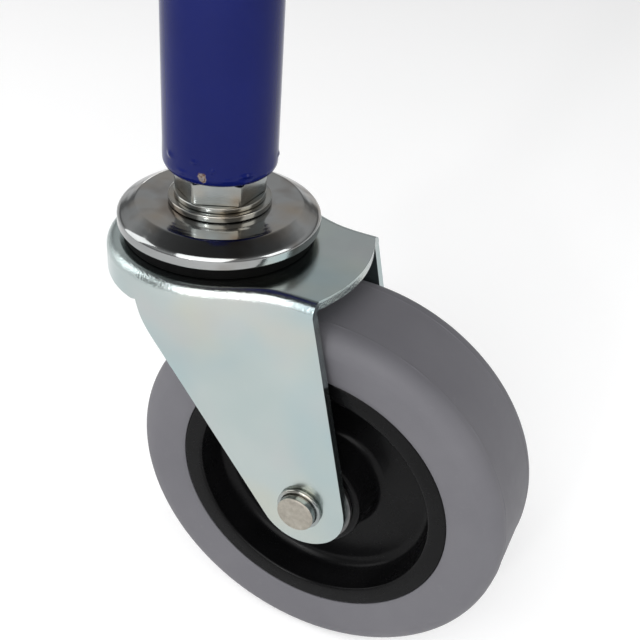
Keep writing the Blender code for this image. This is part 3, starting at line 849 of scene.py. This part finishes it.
def bulge(x, height):
    """How far the round head stands out beyond the leg's flat face, fading down the leg."""
    low, high = math.atan2(LEG_FACE, CORNER_X), math.pi - 0.5
    for _ in range(30):
        middle = (low + high) / 2
        if wall_distance(middle) * math.cos(middle) > x:
            low = middle
        else:
            high = middle
    out = max(wall_distance(low) * math.sin(low) - LEG_FACE, 0.0)
    t = min(max((height - BULGE_LOW) / (BULGE_HIGH - BULGE_LOW), 0.0), 1.0)
    return out * t * t * (3 - 2 * t)


def flank_normal(angle):
    """Outward direction of the fork's wall in plan."""
    small = 0.002
    a, b = angle - small, angle + small
    ra, rb = wall_distance(a), wall_distance(b)
    tx, ty = rb * math.cos(b) - ra * math.cos(a), rb * math.sin(b) - ra * math.sin(a)
    size = math.hypot(tx, ty)
    return (ty / size, -tx / size)


def crown_line(flat, reach, tracks, bend_rows):
    """Points from the crown's bore out to `flat`, then down the bend."""
    angle = math.atan2(flat[1], flat[0])
    line = [(r * math.cos(angle), r * math.sin(angle), crown_height(r)) for r in tracks]
    last = line[-1][:2]
    for t in (0.33, 0.67, 1.0):
        line.append((*lerp(last, flat, t), CROWN_TOP))
    for step in range(1, bend_rows + 1):
        turn = math.pi / 2 * step / bend_rows
        out, down = math.sin(turn), BEND * (1 - math.cos(turn))
        line.append((flat[0] + reach[0] * out, flat[1] + reach[1] * out, CROWN_TOP - down))
    return line


def lip_line(y, tracks):
    """A line out to the crown's bowed front edge, where the sheet is cut off square."""
    edge = LEG_FACE - BEND
    bow = 1 - (y / edge) ** 2
    return crown_line((CORNER_X + (LIP_CENTRE_X - CORNER_X) * bow, y), (0.0, 0.0), tracks, 0)


def leg_line(angle, u, tracks, bend_rows, rows, outline):
    """A line over a flank and down the leg; u runs from 0 at the front edge to 1 at the rear edge."""
    front, rear, front_turn, sweep = outline
    high = CROWN_TOP - BEND
    if u == 0:
        top = front[0]
        line = crown_line((CORNER_X, LEG_FACE - BEND), (0.0, BEND), tracks, bend_rows)
    else:
        reach, normal = wall_distance(angle), flank_normal(angle)
        edge = (reach * math.cos(angle), reach * math.sin(angle))
        top = (edge[0], high)
        out = (normal[0] * BEND, normal[1] * BEND)
        line = crown_line((edge[0] - out[0], edge[1] - out[1]), out, tracks, bend_rows)
    length = sum(math.dist(a, b) for a, b in zip(rear, rear[1:]))
    end = leg_end(front_turn + sweep * u)
    for t in leg_rows(length, rows):
        fore, aft = along(front, t), along(rear, t)
        base = lerp(lerp(front[0], front[-1], t), lerp(rear[0], rear[-1], t), u)
        x, z = (m + e - b for m, e, b in zip(lerp(fore, aft, u), lerp(top, end, t), base))
        if u in (0, 1):
            x, z = (fore, aft)[u]
        line.append((x, LEG_FACE + bulge(x, z), z))
    return line


def leg_rows(length, rows):
    """Fractions down the leg: close rows along the skirt, the rest evenly spread."""
    skirt = (CROWN_TOP - BEND - SKIRT_BOTTOM) / length
    close = [skirt * part for part in SKIRT_ROWS]
    return close + [skirt + (1 - skirt) * (row + 1) / rows for row in range(rows)]


def skirt_line(angle, tracks, bend_rows):
    """A line out over the crown and down the short skirt behind the head."""
    normal = (math.cos(angle), math.sin(angle))
    flat = (normal[0] * (HEAD_RADIUS - BEND), normal[1] * (HEAD_RADIUS - BEND))
    line = crown_line(flat, (normal[0] * BEND, normal[1] * BEND), tracks, bend_rows)
    high = CROWN_TOP - BEND
    for row in SKIRT_ROWS:
        height = high + (SKIRT_BOTTOM - high) * row
        line.append((normal[0] * HEAD_RADIUS, normal[1] * HEAD_RADIUS, height))
    return line


def fork_sheet(lip_columns, leg_columns, skirt_columns, bend_rows, rows, tracks):
    """The fork's outer face as one grid: crown, lip, bends, rear skirt and the two tapered legs."""
    shape = bmesh.new()
    found = {}

    def vert(point):
        key = tuple(round(value, 4) for value in point)
        if key not in found:
            found[key] = shape.verts.new((point[0], point[1], point[2] + RIM))
        return found[key]

    edge = LEG_FACE - BEND
    lines = [lip_line(edge * i / lip_columns, tracks) for i in range(lip_columns + 1)]
    outline = leg_outline()
    front_angle = math.atan2(LEG_FACE, CORNER_X - BEND)
    rear_angle = math.atan2(math.sqrt(HEAD_RADIUS**2 - REAR_EDGE_X**2), REAR_EDGE_X)
    lines.append(leg_line(front_angle, 0, tracks, bend_rows, rows, outline))
    for i in range(leg_columns):
        angle = front_angle + (rear_angle - front_angle) * i / (leg_columns - 1)
        u = 1 if i == leg_columns - 1 else 0.06 + 0.94 * i / (leg_columns - 1)
        lines.append(leg_line(angle, u, tracks, bend_rows, rows, outline))
    for i in range(1, skirt_columns + 1):
        angle = rear_angle + (math.pi - rear_angle) * i / skirt_columns
        lines.append(skirt_line(angle, tracks, bend_rows))
    lines[0] = [(x, 0.0, z) for x, y, z in lines[0]]
    lines[-1] = [(x, 0.0, z) for x, y, z in lines[-1]]
    for side in (1, -1):
        grid = [[vert((x, y * side, z)) for x, y, z in line] for line in lines]
        for one, two in zip(grid, grid[1:]):
            for row in range(min(len(one), len(two)) - 1):
                corners = [one[row], one[row + 1], two[row + 1], two[row]]
                corners = list(dict.fromkeys(corners if side > 0 else corners[::-1]))
                if len(corners) > 2:
                    shape.faces.new(corners)
    return shape


def make_fork(looks):
    """The bent sheet, given its thickness, drilled for the axle and with its edges rounded."""
    sheet = fork_sheet(
        lip_columns=20,
        leg_columns=48,
        skirt_columns=32,
        bend_rows=10,
        rows=44,
        tracks=[CROWN_BORE + CROWN_RING_STEP * step for step in range(CROWN_RINGS)],
    )
    fork = finish_mesh("fork_pressing", sheet, looks["satin_zinc"])
    thick = fork.modifiers.new("sheet", "SOLIDIFY")
    thick.thickness = SHEET * MM
    thick.offset = -1.0
    thick.use_even_offset = True
    drill = bmesh.new()
    bmesh.ops.create_cone(
        drill,
        cap_ends=True,
        segments=96,
        radius1=AXLE_HOLE_RADIUS,
        radius2=AXLE_HOLE_RADIUS,
        depth=60,
        matrix=Matrix.Translation((TRAIL, 0, AXLE_HEIGHT + RIM)) @ Matrix.Rotation(math.pi / 2, 4, "X"),
    )
    tool = finish_mesh("axle_drill", drill, looks["satin_zinc"])
    hole = fork.modifiers.new("axle_hole", "BOOLEAN")
    hole.operation = "DIFFERENCE"
    hole.solver = "EXACT"
    hole.object = tool
    edge = fork.modifiers.new("edge", "BEVEL")
    edge.width = FORK_EDGE_ROUND * MM
    edge.segments = 3
    edge.limit_method = "ANGLE"
    edge.angle_limit = math.radians(55)
    flats = fork.modifiers.new("flats", "WEIGHTED_NORMAL")
    flats.mode = "FACE_AREA"
    flats.weight = 80
    flats.keep_sharp = False
    settle(fork)
    bpy.data.objects.remove(tool, do_unlink=True)
    show(fork, "fork_head", "satin_zinc", "fork")


# ---------------------------------------------------------------- wheel and axle


def mirrored(half):
    """A profile and its mirror image past the wheel's middle plane."""
    return half + [(r, -h) for r, h in reversed(half)]


def mould_line(radius, height, angle):
    """The thin uneven ridge that the mould leaves along each shoulder."""
    proud = max(radius - WHEEL_RADIUS, 0.0)
    uneven = 0.7 + 0.5 * math.sin(angle * 7) * math.sin(angle * 23 + 1.0)
    return radius - proud + proud * uneven, height


def make_wheel(looks):
    """The tyre with its mould ridges, and the core with a recess on each side of its web."""
    radius, wide = WHEEL_RADIUS, WHEEL_HALF_WIDTH
    tread = [(TYRE_BORE, 13.93), (36.75, 14.1), (38.0, 14.32), (40.0, 14.6), (42.5, 14.95)]
    tread += arc((radius, wide), (radius - SHOULDER_ROUND, wide), (radius, wide - SHOULDER_ROUND), 16)
    tread += [(radius + 0.02, 9.8), (radius + 0.1, 9.65), (radius + 0.1, 9.5)]
    tread += [(radius + 0.02, 9.35), (radius, 9.2), (radius, 8.0)]
    tread += [(radius, 6.0), (radius, 4.0), (radius, 2.0)]
    tongue = [(TYRE_BORE, -8.95), (TONGUE_BORE, -8.85), (TONGUE_BORE, 8.85), (TYRE_BORE, 8.95)]
    profile = mirrored(tread) + tongue
    look = looks["grey_rubber"]
    tyre = turned("tyre_rubber", profile, look, "Y", steps=224, bend=mould_line, crease=28.0)
    show(tyre, "wheel", "grey_rubber", "tyre")

    half = [(HUB_BORE, 14.9)]
    half += arc((HUB_BORE, HUB_END), (HUB_BORE, 14.9), (9.4, HUB_END), 3)
    half += arc((14.2, HUB_END), (13.5, HUB_END), (14.3, 14.5), 4)
    half += [(14.6, 12.0), (15.0, 8.5)]
    half += arc((15.35, WEB_FACE), (15.2, 6.9), (17.4, WEB_FACE), 6)
    half += [(20.0, WEB_FACE), (23.0, WEB_FACE), (26.0, WEB_FACE)]
    half += arc((30.3, WEB_FACE), (27.6, WEB_FACE), (30.55, 7.6), 9)
    half += [(31.1, 10.5), (31.5, 13.2)]
    half += arc((31.6, CORE_FACE), (31.5, 13.3), (32.3, CORE_FACE), 4)
    half += [(34.0, CORE_FACE), (35.8, CORE_FACE)]
    half += arc((CORE_RADIUS, CORE_FACE), (36.0, CORE_FACE), (CORE_RADIUS, 13.5), 4)
    half += [(CORE_RADIUS, 9.05), (CORE_GROOVE, 8.95)]
    look = looks["black_plastic"]
    core = turned("wheel_core_moulding", mirrored(half), look, "Y", steps=192, crease=30.0)
    show(core, "wheel", "black_plastic", "wheel_core")


def make_axle(looks):
    """The riveted axle, its collar on the near leg, and the two discs beside the hub."""
    end, head = AXLE_NEAR_END, AXLE_HEAD_RADIUS
    axle = [(0, -22.62), (3.9, end)]
    axle += arc((AXLE_RADIUS, end), (4.3, end), (AXLE_RADIUS, -22.1), 5)
    axle += [(AXLE_RADIUS, -20.6), (AXLE_RADIUS, AXLE_HEAD_BASE), (7.9, AXLE_HEAD_BASE)]
    axle += arc((head, AXLE_HEAD_BASE), (7.9, AXLE_HEAD_BASE), (head, 19.6), 3)
    axle += arc((head, AXLE_FAR_END), (head, 20.4), (4.2, AXLE_FAR_END), 10)
    axle += [(2.0, AXLE_FAR_END), (0, AXLE_FAR_END)]
    rivet = turned("axle_rivet_body", axle, looks["bright_zinc"], "Y", steps=96, closed=False)
    rivet.data.materials.append(looks["axle_face"])
    for face in rivet.data.polygons:
        if face.center.y < CUT_END * MM:
            face.material_index = 1
    show(rivet, "fork_head", "axle_steel", "axle_rivet")

    collar = [(5.0, -20.5), (5.55, -20.5), (5.9, -20.2), (5.9, -19.5), (5.6, -19.25), (5.0, -19.25)]
    ring = turned("axle_collar_ring", softened(collar, 0.15), looks["bright_zinc"], "Y", steps=96)
    show(ring, "fork_head", "bright_zinc", "axle_collar")

    for name, side in (("near", -1), ("far", 1)):
        flat = ring_section(DISC_INNER, DISC_OUTER, DISC_NEAR_HUB * side, DISC_NEAR_LEG * side, 0.3)
        disc = turned(f"thrust_disc_{name}", flat, looks["dark_steel"], "Y", steps=96)
        show(disc, "fork_head", "dark_steel", f"thrust_washer_{name}")


# ---------------------------------------------------------------- stage, light and camera


def make_stage():
    """A plain pale floor that glows faintly, just under the wheel."""
    shape = bmesh.new()
    bmesh.ops.create_grid(shape, x_segments=8, y_segments=8, size=FLOOR_REACH)
    floor = bpy.data.objects.new("floor", bpy.data.meshes.new("floor"))
    shape.to_mesh(floor.data)
    shape.free()
    floor.data.transform(Matrix.Scale(MM, 4))
    floor.location.z = FLOOR_m - FLOOR_GAP_m
    bpy.context.scene.collection.objects.link(floor)
    look = Look("pale_floor")
    dark, light, white = (0.78, 0.78, 0.78), (0.80, 0.80, 0.80), (1.0, 1.0, 1.0, 1.0)
    look.colour(look.ramp(look.noise(3, detail=2, rough=0.5), (0.3, dark), (0.7, light)))
    look.fixed(Roughness=0.9, Specular_IOR_Level=0.1)
    look.fixed(Emission_Color=white, Emission_Strength=FLOOR_GLOW)
    floor.data.materials.append(look.material)


def softbox(name, where, size, watts):
    light = bpy.data.lights.new(name, "AREA")
    light.shape = "RECTANGLE"
    light.size, light.size_y = size
    light.energy = watts
    made = bpy.data.objects.new(name, light)
    made.location = where
    made.rotation_euler = (Vector(LIT_m) - Vector(where)).to_track_quat("-Z", "Y").to_euler()
    bpy.context.scene.collection.objects.link(made)


def make_light():
    """A studio whose brightness depends on the height above the horizon, and the softboxes."""
    world = bpy.data.worlds.new("studio")
    bpy.context.scene.world = world
    world.use_nodes = True
    tree = world.node_tree
    back = tree.nodes["Background"]
    place = tree.nodes.new("ShaderNodeTexCoord")
    split = tree.nodes.new("ShaderNodeSeparateXYZ")
    ramp = tree.nodes.new("ShaderNodeValToRGB")
    tree.links.new(place.outputs["Generated"], split.inputs["Vector"])
    tree.links.new(split.outputs["Z"], ramp.inputs["Fac"])
    fill_ramp(ramp, [(sine, (shade, shade, shade * STUDIO_BLUE)) for sine, shade in STUDIO_STOPS])
    tree.links.new(ramp.outputs["Color"], back.inputs["Color"])
    back.inputs["Strength"].default_value = 1.0
    for box in SOFTBOXES:
        softbox(*box)
    view = bpy.context.scene.view_settings
    view.view_transform = "Standard"
    view.exposure = 0.0


def make_camera():
    """The camera stands in front of the near leg, above the head, tipped a few degrees."""
    yaw, pitch, roll = CAMERA_YAW, CAMERA_PITCH, CAMERA_ROLL
    level = Vector((-math.cos(pitch) * math.sin(yaw), math.cos(pitch) * math.cos(yaw), 0.0))
    ahead = level - Vector((0.0, 0.0, math.sin(pitch)))
    right = Vector((math.cos(yaw), math.sin(yaw), 0.0))
    up = right.cross(ahead)
    tipped_right = right * math.cos(roll) + up * math.sin(roll)
    tipped_up = up * math.cos(roll) - right * math.sin(roll)
    where = Vector((CAMERA_X, CAMERA_Y, CAMERA_HEIGHT + RIM)) * MM
    turn = Matrix((tipped_right, tipped_up, -ahead)).transposed().to_4x4()
    lens = bpy.data.cameras.new("camera")
    lens.sensor_width = SENSOR_WIDTH
    lens.lens = LENS
    lens.clip_start = CLIP_START_m
    made = bpy.data.objects.new("camera", lens)
    made.matrix_world = Matrix.Translation(where) @ turn
    bpy.context.scene.collection.objects.link(made)
    bpy.context.scene.camera = made


def main():
    looks = {
        "blue_paint": blue_paint(),
        "bright_zinc": bright_zinc(),
        "polished_zinc": polished_zinc(),
        "satin_zinc": satin_zinc(),
        "axle_face": axle_face(),
        "bare_steel": bare_steel(),
        "dark_steel": dark_steel(),
        "ball_steel": ball_steel(),
        "black_rubber": black_rubber(),
        "grey_rubber": grey_rubber(),
        "black_plastic": black_plastic(),
        "white_plastic": white_plastic(),
    }
    looks["axle_steel"] = looks["axle_face"]
    slots = {part["node"]: part["material_slot"] for part in frame["record"]["subparts"]}
    for name, node in frame["nodes"].items():
        node.data.materials.clear()
        node.data.materials.append(looks[slots[name]])
    make_camera()
    make_tube(looks)
    make_nut(looks)
    make_washers(looks)
    make_stem(looks)
    make_head(looks)
    make_fork(looks)
    make_wheel(looks)
    make_axle(looks)
    make_stage()
    make_light()


main()
